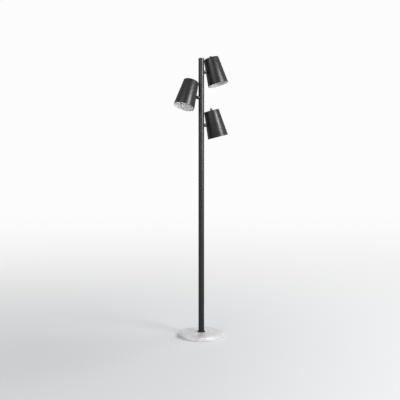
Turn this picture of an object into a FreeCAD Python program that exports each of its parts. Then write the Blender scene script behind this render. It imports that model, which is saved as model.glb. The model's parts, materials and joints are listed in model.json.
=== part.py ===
"""Tree floor lamp: a marble disc, a pole in three lengths and three cone shades on ball knuckles.

Millimetres, +Z up. The origin is the centre of the floor pad's underside. The front is -Y.
Two shades stand out to the right (+X) and one to the left, all in one upright plane that is
turned about the pole by arm_azimuth.
"""
import FreeCAD, Part
import math
import os
from types import SimpleNamespace

import Sketcher
from FreeCAD import Placement, Rotation, Vector

DRIVING_SIZES = {
    # stand
    "lamp_height": 1553.0,
    "pole_radius": 16.0,
    "pole_wall": 1.2,
    "lower_pole_length": 505.0,
    "middle_pole_length": 505.0,
    "cap_crown": 2.0,
    "cap_rim": 0.8,
    "cap_spigot": 9.0,
    "insert_length": 50.0,
    "insert_bore": 12.0,
    "foot_insert_length": 20.0,
    # base
    "base_radius": 125.0,
    "base_thickness": 22.5,
    "bevel_width": 18.0,
    "bevel_drop": 5.3,
    "base_foot_chamfer": 1.2,
    "base_hole": 14.0,
    "recess_radius": 45.0,
    "recess_depth": 14.0,
    "channel_width": 8.4,
    "channel_depth": 8.4,
    "pad_thickness": 1.5,
    "pad_inset": 3.5,
    "plate_radius": 40.0,
    "plate_thickness": 2.5,
    "plate_slot_shift": 6.0,
    "plate_slot_half_width": 3.4,
    "plate_slot_half_length": 11.4,
    "bolt_radius": 4.0,
    "bolt_grip": 16.0,
    "bolt_head_flats": 13.0,
    "bolt_head_height": 5.3,
    "washer_thickness": 1.6,
    "washer_radius": 8.0,
    "collar_overhang": 6.0,
    "collar_height": 7.0,
    "collar_rim": 2.4,
    "gland_bore": 2.7,
    "gland_flange": 5.0,
    "gland_flange_thickness": 2.0,
    "gland_boot": 6.0,
    "gland_boot_wall": 1.6,
    "gland_tail": 12.0,
    # wiring
    "supply_lead_radius": 2.4,
    "lead_radius": 1.6,
    "link_radius": 1.2,
    "link_place": 9.0,
    "lead_hole_offset": 9.0,
    "lead_straight": 12.0,
    "lead_sway": 70.0,
    "branch_start": 7.0,
    "branch_side": 8.5,
    "branch_back": 8.0,
    "branch_bend": 26.0,
    "terminal_height": 1118.0,
    "terminal_width": 20.0,
    "terminal_depth": 12.0,
    "terminal_length": 18.0,
    # where the arms stand
    "arm_azimuth": 25.0,
    "top_arm_height": 1477.5,
    "middle_arm_height": 1332.0,
    "lower_arm_height": 1180.0,
    "top_cant": 14.7,
    "middle_cant": 18.4,
    "lower_cant": 15.8,
    "top_swivel": -5.0,
    "middle_swivel": 4.0,
    "lower_swivel": -0.2,
    # knuckle
    "saddle_overhang": 0.5,
    "saddle_depth": 2.0,
    "nipple_radius": 4.0,
    "nipple_bore": 2.6,
    "nipple_head_web": 1.0,
    "nipple_inside": 8.5,
    "nipple_dish_rim": 2.2,
    "nut_flats": 11.0,
    "nut_height": 3.2,
    "cup_wall": 2.1,
    "cup_floor": 1.5,
    "cup_flange": 3.5,
    "knuckle_cap_wall": 1.25,
    "knuckle_cap_lip": 1.5,
    "slot_reach": 1.5,
    "slot_floor": 2.0,
    "cap_taper_start": 1.0,
    "cap_nose": 0.8,
    "mouth_gap": 0.15,
    "tilt_room": 2.7,
    "ball_radius": 6.0,
    "stem_radius": 4.0,
    "stem_bore": 2.5,
    "stem_thread": 7.0,
    "stem_flange_overhang": 2.2,
    "stem_flange_thickness": 1.4,
    "stem_washer_thickness": 0.8,
    # shade
    "shade_top_radius": 42.5,
    "shade_mouth_radius": 58.3,
    "shade_length": 152.5,
    "shade_sheet": 0.9,
    "shade_edge_round": 2.5,
    "shade_hem": 2.2,
    "stem_place": 0.474,
    # switch
    "bushing_radius": 5.0,
    "bushing_height": 2.6,
    "bushing_nut_flats": 13.0,
    "bushing_nut_height": 2.2,
    "switch_radius": 11.0,
    "switch_height": 15.0,
    "shaft_radius": 1.8,
    "shaft_seat": 4.0,
    "shaft_cover": 2.5,
    "knob_radius": 6.0,
    "knob_height": 10.0,
    "knob_gap": 0.4,
    "knob_foot_chamfer": 0.6,
    "knob_draft": 0.2,
    "knob_top_round": 1.0,
    "knob_flute": 0.5,
    "knob_flute_offset": 0.3,
    "knob_flute_stop": 1.5,
    # lampholder and bulb
    "bracket_width": 14.0,
    "bracket_strip": 1.2,
    "bracket_span": 36.0,
    "bracket_drop": 26.0,
    "holder_top_radius": 15.0,
    "holder_radius": 18.5,
    "holder_wall": 2.6,
    "holder_length": 44.0,
    "holder_shoulder": 11.0,
    "holder_step": 1.5,
    "holder_screw_place": 9.0,
    "holder_screw_radius": 2.6,
    "holder_screw_height": 1.6,
    "shell_radius": 14.0,
    "shell_sheet": 0.5,
    "shell_length": 25.0,
    "shell_recess": 2.5,
    "shell_contact_radius": 4.0,
    "shell_contact_thickness": 0.8,
    "bulb_cap_radius": 13.1,
    "bulb_cap_length": 24.0,
    "bulb_cap_sheet": 0.6,
    "bulb_cap_cone": 5.0,
    "bulb_cap_gap": 1.5,
    "bulb_contact_height": 1.0,
    "bulb_contact_radius": 4.0,
    "bulb_radius": 22.5,
    "bulb_wall": 0.9,
    "bulb_neck_radius": 12.2,
    "bulb_neck_seat": 5.9,
    "bulb_reach": 56.0,
    # clearances
    "slide_gap": 0.05,
    "seat_gap": 0.1,
    "hole_gap": 0.25,
    "edge_break": 0.5,
    "cut_overrun": 5.0,
}

FLUTES = 12
EDGE_ARC = 1.05         # the top edge turns through less than a quarter circle
TAPER_SHARE = 0.55      # how much of the knuckle cap's taper its nose makes
BULB_SHOULDER = math.radians(35)
HEX_CORNER = 1 / math.sqrt(3)
ARMS = {"top": 0.0, "middle": 180.0, "lower": 0.0}

doc = FreeCAD.newDocument("TreeFloorLamp")
sheet = doc.addObject("Spreadsheet::Sheet", "Sizes")


class Size:
    """A length that carries its number and the sheet formula that gives it."""

    def __init__(self, number, formula):
        self.number = number
        self.formula = formula

    @staticmethod
    def of(value):
        return value if isinstance(value, Size) else Size(float(value), repr(float(value)))

    def joined(self, other, sign, number):
        return Size(number, f"({self.formula} {sign} {other.formula})")

    def __add__(self, other):
        other = Size.of(other)
        return self.joined(other, "+", self.number + other.number)

    def __sub__(self, other):
        other = Size.of(other)
        return self.joined(other, "-", self.number - other.number)

    def __mul__(self, other):
        other = Size.of(other)
        return self.joined(other, "*", self.number * other.number)

    def __truediv__(self, other):
        other = Size.of(other)
        return self.joined(other, "/", self.number / other.number)

    def __radd__(self, other):
        return Size.of(other) + self

    def __rsub__(self, other):
        return Size.of(other) - self

    def __rmul__(self, other):
        return Size.of(other) * self

    def __neg__(self):
        return Size.of(0) - self


def leg(hypotenuse, side):
    """The other leg of a right triangle: how far a sphere's surface lies at that offset."""
    hypotenuse, side = Size.of(hypotenuse), Size.of(side)
    square = hypotenuse * hypotenuse - side * side
    return Size(math.sqrt(square.number), f"sqrt({square.formula})")


def fill_sheet():
    named = {}
    for row, (alias, number) in enumerate(DRIVING_SIZES.items(), start=1):
        sheet.set(f"A{row}", alias)
        sheet.set(f"B{row}", str(number))
        sheet.setAlias(f"B{row}", alias)
        named[alias] = Size(number, f"Sizes.{alias}")
    doc.recompute()
    return SimpleNamespace(**named)


s = fill_sheet()
nodes = []


# ---- construction helpers -------------------------------------------------------------------

def bind(feature, field, value):
    """Set a feature's field and tie it to the sheet."""
    value = Size.of(value)
    feature.setExpression(field, value.formula)


def new_body(label, placement=None):
    body = doc.addObject("PartDesign::Body", label)
    body.Label = label
    if placement is not None:
        body.Placement = placement
    return body


def finish(node, label):
    """Register an object as the sub-part with this label."""
    node.Label = label
    nodes.append(node)
    return node


def origin_plane(body, role):
    return next(p for p in body.Origin.OriginFeatures if p.Role == role)


def new_sketch(body, plane, lift=0.0):
    sketch = body.newObject("Sketcher::SketchObject", "Outline")
    sketch.AttachmentSupport = [(origin_plane(body, plane), "")]
    sketch.MapMode = "FlatFace"
    lift = Size.of(lift)
    if lift.number:
        bind(sketch, ".AttachmentOffset.Base.z", lift)
    return sketch


def pin_along(sketch, edge, end, value, kind):
    """Hold one coordinate of a point of an edge; kind is DistanceX or DistanceY."""
    axis = -2 if kind == "DistanceX" else -1
    if abs(value.number) < 1e-9:
        sketch.addConstraint(Sketcher.Constraint("PointOnObject", edge, end, axis))
    else:
        index = sketch.addConstraint(Sketcher.Constraint(kind, -1, 1, edge, end, value.number))
        sketch.setExpression(f"Constraints[{index}]", value.formula)


def pin_point(sketch, edge, end, x, y):
    """Hold one end of an edge at (x, y) from the sketch's origin."""
    pin_along(sketch, edge, end, x, "DistanceX")
    pin_along(sketch, edge, end, y, "DistanceY")


def pin_bend(sketch, edge, start, end, radius):
    """Set an arc's radius; a half circle is held by its centre, which lies on its chord."""
    if math.dist([v.number for v in start], [v.number for v in end]) < 1.999 * radius.number:
        index = sketch.addConstraint(Sketcher.Constraint("Radius", edge, radius.number))
        sketch.setExpression(f"Constraints[{index}]", radius.formula)
    elif abs(start[0].number - end[0].number) < 1e-9:
        pin_along(sketch, edge, 3, end[0], "DistanceX")
    else:
        pin_along(sketch, edge, 3, end[1], "DistanceY")


def arc_between(start, end, radius, turn):
    """The arc from start to end; turn is +1 for counter-clockwise and -1 for clockwise."""
    chord = end - start
    middle = (start + end) / 2
    height = math.sqrt(max(radius ** 2 - (chord.Length / 2) ** 2, 0.0))
    left = Vector(-chord.y, chord.x, 0).normalize()
    centre = middle + left * (height * turn)
    first, last = (start, end) if turn > 0 else (end, start)
    angles = [math.atan2(p.y - centre.y, p.x - centre.x) for p in (first, last)]
    circle = Part.Circle(centre, Vector(0, 0, 1), radius)
    return Part.ArcOfCircle(circle, angles[0], angles[1])


def outline(body, corners, plane="XZ_Plane", lift=0.0):
    """A closed outline. A corner is (x, y), or (x, y, radius, turn) where an arc leads to it."""
    sketch = new_sketch(body, plane, lift)
    places = [(Size.of(c[0]), Size.of(c[1])) for c in corners]
    points = [Vector(x.number, y.number, 0) for x, y in places]
    ends = []
    for index, corner in enumerate(corners):
        start, end = points[index - 1], points[index]
        if len(corner) == 4:
            radius, turn = Size.of(corner[2]), corner[3]
            edge = sketch.addGeometry(arc_between(start, end, radius.number, turn))
            ends.append((edge, 1, 2) if turn > 0 else (edge, 2, 1))
        else:
            edge = sketch.addGeometry(Part.LineSegment(start, end))
            ends.append((edge, 1, 2))
    for index, (edge, first, last) in enumerate(ends):
        before, _, before_last = ends[index - 1]
        sketch.addConstraint(
            Sketcher.Constraint("Coincident", before, before_last, edge, first))
    for index, ((edge, _, last), place, corner) in enumerate(zip(ends, places, corners)):
        pin_point(sketch, edge, last, *place)
        if len(corner) == 4:
            pin_bend(sketch, edge, places[index - 1], place, Size.of(corner[2]))
    return sketch


def circle_outline(body, x, y, radius, plane="XY_Plane", lift=0.0):
    x, y, radius = Size.of(x), Size.of(y), Size.of(radius)
    sketch = new_sketch(body, plane, lift)
    centre = Vector(x.number, y.number, 0)
    edge = sketch.addGeometry(Part.Circle(centre, Vector(0, 0, 1), radius.number))
    pin_point(sketch, edge, 3, x, y)
    index = sketch.addConstraint(Sketcher.Constraint("Radius", edge, radius.number))
    sketch.setExpression(f"Constraints[{index}]", radius.formula)
    return sketch


def slot_outline(body, x, y, half_width, half_length, along_x=True, plane="XY_Plane", lift=0.0):
    """A slot with round ends, long along the sketch's x or y."""
    across = Size.of(half_width)
    run = Size.of(half_length) - across
    x, y = Size.of(x), Size.of(y)
    if along_x:
        corners = [(x - run, y - across), (x + run, y - across), (x + run, y + across, across, 1),
                   (x - run, y + across)]
        corners[0] = (*corners[0], across, 1)
    else:
        corners = [(x + across, y - run), (x + across, y + run), (x - across, y + run, across, 1),
                   (x - across, y - run)]
        corners[0] = (*corners[0], across, 1)
    return outline(body, corners, plane, lift)


def box_corners(left, bottom, right, top):
    return [(left, bottom), (right, bottom), (right, top), (left, top)]


def revolve(body, sketch):
    feature = body.newObject("PartDesign::Revolution", "Turned")
    feature.Profile = sketch
    feature.ReferenceAxis = (sketch, ["V_Axis"])
    feature.Angle = 360
    return feature


def pad(body, sketch, length, both_ways=False):
    feature = body.newObject("PartDesign::Pad", "Pad")
    feature.Profile = sketch
    bind(feature, "Length", length)
    feature.Midplane = both_ways
    return feature


def pocket(body, sketch, depth, both_ways=False, turned_over=False):
    """Cut away from the sketch, and make sure that the cut takes material."""
    doc.recompute()
    before = body.Shape.Volume
    feature = body.newObject("PartDesign::Pocket", "Cut")
    feature.Profile = sketch
    bind(feature, "Length", depth)
    feature.Midplane = both_ways
    feature.Reversed = turned_over
    doc.recompute()
    if not body.Shape.Volume < before:
        raise RuntimeError(f"{body.Label}: a cut takes nothing away")
    return feature


def polar_copies(body, feature, count):
    pattern = body.newObject("PartDesign::PolarPattern", "Around")
    pattern.Originals = [feature]
    pattern.Axis = (next(a for a in body.Origin.OriginFeatures if a.Role == "Z_Axis"), [""])
    pattern.Angle = 360
    pattern.Occurrences = count
    body.Tip = pattern
    return pattern


def turned(label, corners, placement=None):
    """A piece turned about its own Z axis from an outline of (radius, height) corners."""
    body = new_body(label, placement)
    revolve(body, outline(body, corners))
    return body


def cylinder(label, radius, height, placement=None):
    shape = doc.addObject("Part::Cylinder", label)
    bind(shape, "Radius", radius)
    bind(shape, "Height", height)
    if placement is not None:
        shape.Placement = placement
    return shape


def hex_piece(label, flats, height, placement, bore=None):
    """A hexagonal nut, or a bolt's head where it has no bore, standing on its own XY plane."""
    prism = doc.addObject("Part::Prism", label + "_hex")
    prism.Polygon = 6
    bind(prism, "Circumradius", Size.of(flats) * HEX_CORNER)
    bind(prism, "Height", height)
    if bore is None:
        prism.Placement = placement
        return prism
    hole = cylinder(label + "_bore", bore, height)
    nut = doc.addObject("Part::Cut", label)
    nut.Base, nut.Tool = prism, hole
    nut.Placement = placement
    return nut


def washer(label, outer, inner, thickness, placement):
    disc = cylinder(label + "_disc", outer, thickness)
    hole = cylinder(label + "_hole", inner, thickness)
    ring = doc.addObject("Part::Cut", label)
    ring.Base, ring.Tool = disc, hole
    ring.Placement = placement
    return ring


def group(label, pieces):
    """Several separate solids that share one sub-part."""
    compound = doc.addObject("Part::Compound", label)
    compound.Links = pieces
    return finish(compound, label)


def lifted(z, x=0.0, y=0.0):
    numbers = [Size.of(v).number for v in (x, y, z)]
    return Placement(Vector(*numbers), Rotation())


def bent_path(points, tightest, widest):
    """Straight runs through the points, joined by tangent arcs, each as wide as its runs allow."""
    points = [Vector(*p) for p in points]
    edges = []
    start = points[0]
    radii = []
    for before, corner, after in zip(points, points[1:], points[2:]):
        into = (corner - before).normalize()
        out = (after - corner).normalize()
        turn = into.getAngle(out)
        shorter = min((corner - before).Length, (after - corner).Length)
        radius = min(0.45 * shorter / math.tan(turn / 2), widest)
        radii.append(radius)
        setback = radius * math.tan(turn / 2)
        arc_start = corner - into * setback
        arc_end = corner + out * setback
        inward = (out - into).normalize()
        centre = corner + inward * (radius / math.cos(turn / 2))
        arc_middle = centre - inward * radius
        edges.append(Part.LineSegment(start, arc_start).toShape())
        edges.append(Part.Arc(arc_start, arc_middle, arc_end).toShape())
        start = arc_end
    edges.append(Part.LineSegment(start, points[-1]).toShape())
    if min(radii) < tightest:
        raise RuntimeError(f"a lead turns at {min(radii):.1f}, tighter than {tightest:.1f}")
    return Part.Wire(edges), radii


def lead(label, points, radius, placement=None, tightest=7.0, widest=math.inf):
    """A round lead along a path, with its volume checked against its length."""
    radius = Size.of(radius).number
    path, radii = bent_path(points, tightest, widest)
    first = Vector(*points[0])
    along = (Vector(*points[1]) - first).normalize()
    section = Part.Wire(Part.Circle(first, along, radius).toShape())
    solid = path.makePipeShell([section], True, False)
    expected = math.pi * radius ** 2 * path.Length
    if abs(solid.Volume / expected - 1) > 0.01:
        raise RuntimeError(f"{label}: volume {solid.Volume:.0f} for {expected:.0f}")
    print(label, "arc radii", [round(r, 1) for r in radii])
    feature = doc.addObject("Part::Feature", label)
    feature.Shape = solid
    if placement is not None:
        feature.Placement = placement
    return feature


# ---- heights and radii that several pieces share ----------------------------------------------

base_underside = s.pad_thickness
base_top = base_underside + s.base_thickness
pole_foot = base_top
lower_seam = pole_foot + s.lower_pole_length
upper_seam = lower_seam + s.middle_pole_length
cap_seat = s.lamp_height - s.cap_crown
pole_bore = s.pole_radius - s.pole_wall
recess_roof = base_underside + s.recess_depth
channel_middle = base_underside + s.channel_depth / 2

saddle_face = s.pole_radius + s.saddle_depth
cup_back = saddle_face + s.seat_gap
cup_floor_face = cup_back + s.cup_floor
nipple_head_back = cup_floor_face + s.seat_gap
cup_shoulder = cup_back + s.cup_flange
cup_bore = s.ball_radius + s.seat_gap
cup_thread_radius = cup_bore + s.cup_wall
knuckle_radius = cup_thread_radius + s.slide_gap + s.knuckle_cap_wall
socket_radius = s.ball_radius + s.slide_gap
ball_centre = nipple_head_back + s.nipple_head_web + leg(socket_radius, s.nipple_bore)
knuckle_cap_reach = leg(socket_radius, s.stem_radius + s.mouth_gap)
knuckle_cap_face = ball_centre + knuckle_cap_reach
stem_flange_radius = s.stem_radius + s.stem_flange_overhang
stem_length = knuckle_cap_reach + s.tilt_room + s.stem_flange_thickness

shade_slope = (s.shade_mouth_radius - s.shade_top_radius) / s.shade_length
stem_drop = s.stem_place * s.shade_length
stem_wall_radius = s.shade_top_radius + shade_slope * stem_drop
flare = math.degrees(math.atan(shade_slope.number))

bracket_top = -s.shade_sheet
switch_top = bracket_top - s.bracket_strip
switch_foot = switch_top - s.switch_height
bracket_foot = bracket_top - s.bracket_drop
holder_foot = bracket_foot - s.holder_length
shell_top = holder_foot + s.shell_recess + s.shell_length
bulb_cap_foot = shell_top - s.bulb_cap_gap - s.bulb_cap_length
bulb_centre = holder_foot - s.bulb_reach + s.bulb_radius


# ---- base -------------------------------------------------------------------------------------

def build_marble_base():
    body = turned("marble_base", [
        (s.base_hole, recess_roof),
        (s.recess_radius, recess_roof),
        (s.recess_radius, base_underside),
        (s.base_radius - s.base_foot_chamfer, base_underside),
        (s.base_radius, base_underside + s.base_foot_chamfer),
        (s.base_radius, base_top - s.bevel_drop),
        (s.base_radius - s.bevel_width, base_top),
        (s.base_hole, base_top),
    ])
    half = s.channel_width / 2
    channel = outline(body, box_corners(-half, s.recess_radius - s.cut_overrun,
                                        half, s.base_radius + s.cut_overrun),
                      "XY_Plane", base_underside)
    pocket(body, channel, s.channel_depth, turned_over=True)
    finish(body, "marble_base")


def build_floor_pad():
    finish(turned("floor_pad", [
        (0, 0),
        (s.base_radius - s.pad_inset, 0),
        (s.base_radius - s.pad_inset, s.pad_thickness),
        (0, s.pad_thickness),
    ]), "floor_pad")


def build_base_plate():
    """A steel disc in the recess, with a bolt hole and a slot where the lead rises."""
    body = turned("base_plate", [
        (s.bolt_radius + s.hole_gap, recess_roof - s.plate_thickness),
        (s.plate_radius, recess_roof - s.plate_thickness),
        (s.plate_radius, recess_roof),
        (s.bolt_radius + s.hole_gap, recess_roof),
    ])
    slot = slot_outline(body, 0, s.lead_hole_offset + s.plate_slot_shift, s.plate_slot_half_width,
                        s.plate_slot_half_length, along_x=False, lift=recess_roof)
    pocket(body, slot, s.plate_thickness)
    finish(body, "base_plate")


def build_centre_bolt():
    washer_foot = recess_roof - s.plate_thickness - s.washer_thickness
    head = hex_piece("bolt_head", s.bolt_head_flats, s.bolt_head_height,
                     lifted(washer_foot - s.bolt_head_height))
    shank_length = s.washer_thickness + s.plate_thickness + (base_top - recess_roof) + s.bolt_grip
    shank = cylinder("bolt_shank", s.bolt_radius, shank_length, lifted(washer_foot))
    bolt = doc.addObject("Part::Fuse", "centre_bolt")
    bolt.Base, bolt.Tool = head, shank
    finish(bolt, "centre_bolt")
    ring = washer("bolt_washer", s.washer_radius, s.bolt_radius + s.slide_gap,
                  s.washer_thickness, lifted(washer_foot))
    finish(ring, "bolt_washer")


def build_cord_gland():
    """A bushing in the channel's end, with a flange on the disc's side and a short boot."""
    seat = leg(s.base_radius, s.channel_width / 2)
    flange_back = s.base_radius + s.seat_gap
    body_radius = s.channel_width / 2 - s.seat_gap
    tail = seat - s.gland_tail
    boot_end = flange_back + s.gland_flange_thickness + s.gland_boot
    boot_radius = s.gland_bore + s.gland_boot_wall
    toward_back = Placement(Vector(0, 0, channel_middle.number), Rotation(Vector(1, 0, 0), -90))
    finish(turned("cord_gland", [
        (s.gland_bore, tail),
        (body_radius, tail),
        (body_radius, flange_back),
        (s.gland_flange, flange_back),
        (s.gland_flange, flange_back + s.gland_flange_thickness),
        (boot_radius, flange_back + s.gland_flange_thickness),
        (boot_radius - s.edge_break, boot_end),
        (s.gland_bore, boot_end),
    ], toward_back), "cord_gland")


def build_foot_collar():
    bore = s.pole_radius + s.slide_gap
    cove = s.collar_height - s.collar_rim
    rim = s.pole_radius + s.collar_overhang
    neck = rim - cove
    finish(turned("foot_collar", [
        (bore, base_top),
        (rim, base_top),
        (rim, base_top + s.collar_rim),
        (neck, base_top + s.collar_height, cove, -1),
        (bore, base_top + s.collar_height),
    ]), "foot_collar")


# ---- pole -------------------------------------------------------------------------------------

def pole_length_piece(label, foot, head):
    return turned(label, [
        (pole_bore, foot),
        (s.pole_radius, foot),
        (s.pole_radius, head),
        (pole_bore, head),
    ])


def build_pole():
    finish(pole_length_piece("lower_pole", pole_foot, lower_seam), "lower_pole")
    finish(pole_length_piece("middle_pole", lower_seam, upper_seam), "middle_pole")
    upper = pole_length_piece("upper_pole", upper_seam, cap_seat)
    upper.Placement = Placement(Vector(), Rotation(Vector(0, 0, 1), s.arm_azimuth.number))
    reach = s.pole_radius + s.cut_overrun
    for arm, bearing in ARMS.items():
        hole = circle_outline(upper, 0, getattr(s, f"{arm}_arm_height"),
                              s.nipple_radius + s.hole_gap, "YZ_Plane")
        pocket(upper, hole, reach, turned_over=bearing == 0.0)
    finish(upper, "upper_pole")


def build_pole_inserts():
    """The threaded foot insert, with its hole for the lead, and a hollow coupler at each seam."""
    outer = pole_bore - s.slide_gap
    foot = turned("foot_insert", [
        (s.bolt_radius + s.slide_gap, pole_foot),
        (outer, pole_foot),
        (outer, pole_foot + s.foot_insert_length),
        (s.bolt_radius + s.slide_gap, pole_foot + s.foot_insert_length),
    ])
    hole = circle_outline(foot, 0, s.lead_hole_offset, s.supply_lead_radius + s.hole_gap,
                          lift=pole_foot + s.foot_insert_length)
    pocket(foot, hole, s.foot_insert_length)
    couplers = [
        turned(f"coupler_{index}", [
            (s.insert_bore, seam - s.insert_length / 2),
            (outer, seam - s.insert_length / 2),
            (outer, seam + s.insert_length / 2),
            (s.insert_bore, seam + s.insert_length / 2),
        ])
        for index, seam in enumerate((lower_seam, upper_seam))
    ]
    group("pole_inserts", [foot, *couplers])


def build_pole_cap():
    crown_height = s.cap_crown - s.cap_rim
    crown = (s.pole_radius * s.pole_radius + crown_height * crown_height) / (2 * crown_height)
    spigot = pole_bore - s.slide_gap
    finish(turned("pole_cap", [
        (0, cap_seat - s.cap_spigot),
        (spigot, cap_seat - s.cap_spigot),
        (spigot, cap_seat),
        (s.pole_radius, cap_seat),
        (s.pole_radius, cap_seat + s.cap_rim),
        (0, s.lamp_height, crown, 1),
    ]), "pole_cap")


# ---- wiring in the stand ------------------------------------------------------------------------

def build_terminal_block():
    block = doc.addObject("Part::Box", "terminal_block")
    for field, value in (("Length", s.terminal_depth), ("Width", s.terminal_width),
                         ("Height", s.terminal_length)):
        bind(block, field, value)
    corner = Vector(-s.terminal_depth.number / 2, -s.terminal_width.number / 2, 0)
    block.Placement = arm_frame(s.terminal_height, 0) * Placement(corner, Rotation())
    finish(block, "terminal_block")


def supply_route():
    """From the gland along the channel, up through the foot insert and up the pole."""
    level = channel_middle.number
    rise = s.lead_hole_offset.number
    gland_end = leg(s.base_radius, s.channel_width / 2).number - s.gland_tail.number
    insert_top = (pole_foot + s.foot_insert_length).number
    return [
        (0, gland_end - s.edge_break.number, level),
        (0, rise, level),
        (0, rise, insert_top + s.lead_straight.number),
        (0, 0, insert_top + s.lead_sway.number),
        (s.edge_break.number, s.edge_break.number, lower_seam.number),
        (0, 0, (s.terminal_height - s.seat_gap).number),
    ]


def arm_lead_route(arm_height, passes_others):
    """In the arm's frame: up beside any other nipples, then round and out through its own."""
    block_top = (s.terminal_height + s.terminal_length + 2 * s.seat_gap).number
    back = -s.branch_back.number
    side = s.branch_side.number
    rise = (arm_height - s.branch_bend).number
    if passes_others:
        route = [(0, s.branch_start.number, block_top), (0, side, block_top + 20),
                 (0, side, rise - 24)]
    else:
        route = [(-3, 0, block_top), (-3, 0, block_top + 3)]
    route += [(back, 0, rise), (back, 0, arm_height.number),
              ((saddle_face + s.edge_break).number, 0, arm_height.number)]
    return [(x, y, z - arm_height.number) for x, y, z in route]


def build_stand_leads():
    supply = lead("supply_lead", supply_route(), s.supply_lead_radius, widest=17.0)
    branches = []
    for arm, bearing in ARMS.items():
        height = getattr(s, f"{arm}_arm_height")
        branches.append(lead(f"{arm}_branch", arm_lead_route(height, arm != "lower"),
                             s.lead_radius, arm_frame(height, bearing)))
    group("stand_leads", [supply, *branches])


# ---- knuckles -----------------------------------------------------------------------------------

def arm_frame(height, bearing):
    """On the pole's axis at the arm's height, with X pointing out along the arm."""
    turn = Rotation(Vector(0, 0, 1), s.arm_azimuth.number + bearing)
    return Placement(Vector(0, 0, Size.of(height).number), turn)


def out_along_x(frame, angle=90.0):
    """The same place with Z laid along the frame's X, for pieces turned about the arm."""
    return frame * Placement(Vector(), Rotation(Vector(0, 1, 0), angle))


def head_frame(arm):
    """At the ball's centre, turned with the swivel and the cant; Z runs up the shade's axis."""
    frame = arm_frame(getattr(s, f"{arm}_arm_height"), ARMS[arm])
    swivel = Rotation(Vector(1, 0, 0), getattr(s, f"{arm}_swivel").number)
    cant = Rotation(Vector(0, 1, 0), -getattr(s, f"{arm}_cant").number)
    return frame * Placement(Vector(ball_centre.number, 0, 0), swivel * cant)


def shade_frame(arm):
    """At the centre of the shade's top, in the head's frame."""
    lean = math.radians(flare)
    across = stem_length.number * math.cos(lean) + stem_wall_radius.number
    up = -stem_length.number * math.sin(lean) + stem_drop.number
    return head_frame(arm) * Placement(Vector(across, 0, up), Rotation())


def stem_frame(arm):
    """At the ball's centre with Z along the stem, square to the shade's wall."""
    return out_along_x(head_frame(arm), 90.0 + flare)


def swivel_frame(arm):
    """On the pole's axis with Z out along the arm, turned with the swivel."""
    frame = arm_frame(getattr(s, f"{arm}_arm_height"), ARMS[arm])
    swivel = Rotation(Vector(1, 0, 0), getattr(s, f"{arm}_swivel").number)
    return out_along_x(frame * Placement(Vector(), swivel))


def build_saddle(arm, frame):
    """A boss with its back hollowed to the pole."""
    inner = s.pole_radius / 2
    radius = knuckle_radius + s.saddle_overhang
    label = f"{arm}_saddle"
    body = turned(label, [
        (s.nipple_radius + s.slide_gap, inner),
        (radius, inner),
        (radius, saddle_face - s.edge_break),
        (radius - s.edge_break, saddle_face),
        (s.nipple_radius + s.slide_gap, saddle_face),
    ], frame)
    hollow = circle_outline(body, 0, 0, s.pole_radius + s.slide_gap, "YZ_Plane")
    pocket(body, hollow, 4 * radius, both_ways=True)
    finish(body, label)


def build_nipple(arm, frame):
    """A hollow bolt whose dished head holds the cup and carries the ball."""
    label = f"{arm}_nipple"
    head_radius = cup_bore - 4 * s.seat_gap
    dish_rim = ball_centre - s.ball_radius + s.nipple_dish_rim
    dish_rim_radius = leg(socket_radius, ball_centre - dish_rim)
    dish_foot = ball_centre - leg(socket_radius, s.nipple_bore)
    finish(turned(label, [
        (s.nipple_bore, s.nipple_inside),
        (s.nipple_radius, s.nipple_inside),
        (s.nipple_radius, nipple_head_back),
        (head_radius, nipple_head_back),
        (head_radius, dish_rim),
        (dish_rim_radius, dish_rim),
        (s.nipple_bore, dish_foot, socket_radius, -1),
    ], frame), label)


def build_nipple_nuts():
    pieces = []
    for arm, bearing in ARMS.items():
        height = getattr(s, f"{arm}_arm_height")
        frame = out_along_x(arm_frame(height, bearing))
        corner = s.nut_flats * HEX_CORNER
        nut_face = leg(pole_bore, corner) - s.seat_gap
        place = frame * lifted(nut_face - s.nut_height)
        pieces.append(hex_piece(f"{arm}_nipple_nut", s.nut_flats, s.nut_height, place,
                                s.nipple_radius + s.slide_gap))
    group("nipple_nuts", pieces)


def build_swivel_cup(arm, frame):
    label = f"{arm}_swivel_cup"
    finish(turned(label, [
        (s.nipple_radius + s.slide_gap, cup_back),
        (knuckle_radius - s.edge_break, cup_back),
        (knuckle_radius, cup_back + s.edge_break),
        (knuckle_radius, cup_shoulder),
        (cup_thread_radius, cup_shoulder),
        (cup_thread_radius, ball_centre),
        (cup_bore, ball_centre),
        (cup_bore, cup_floor_face),
        (s.nipple_radius + s.slide_gap, cup_floor_face),
    ], frame), label)


def build_swivel_cap(arm, frame):
    """Screwed over the cup: it traps the ball, and its upright slot lets the stem tilt one way."""
    label = f"{arm}_swivel_cap"
    back = cup_shoulder + s.seat_gap
    seat_start = ball_centre + s.seat_gap
    slot_half_length = s.stem_radius + s.slot_reach
    end_radius = slot_half_length + s.knuckle_cap_lip
    taper_start = ball_centre + s.cap_taper_start
    taper_drop = knuckle_radius - end_radius
    body = turned(label, [
        (cup_thread_radius + s.slide_gap, back),
        (knuckle_radius, back),
        (knuckle_radius, taper_start),
        (end_radius + taper_drop * TAPER_SHARE, knuckle_cap_face - s.cap_nose),
        (end_radius, knuckle_cap_face),
        (s.stem_radius + s.mouth_gap, knuckle_cap_face),
        (leg(socket_radius, s.seat_gap), seat_start, socket_radius, -1),
        (cup_thread_radius + s.slide_gap, seat_start),
    ], frame)
    slot = slot_outline(body, 0, 0, s.stem_radius + s.seat_gap,
                        slot_half_length, lift=knuckle_cap_face + s.edge_break)
    pocket(body, slot, knuckle_cap_reach + s.edge_break - s.slot_floor)
    finish(body, label)


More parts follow.
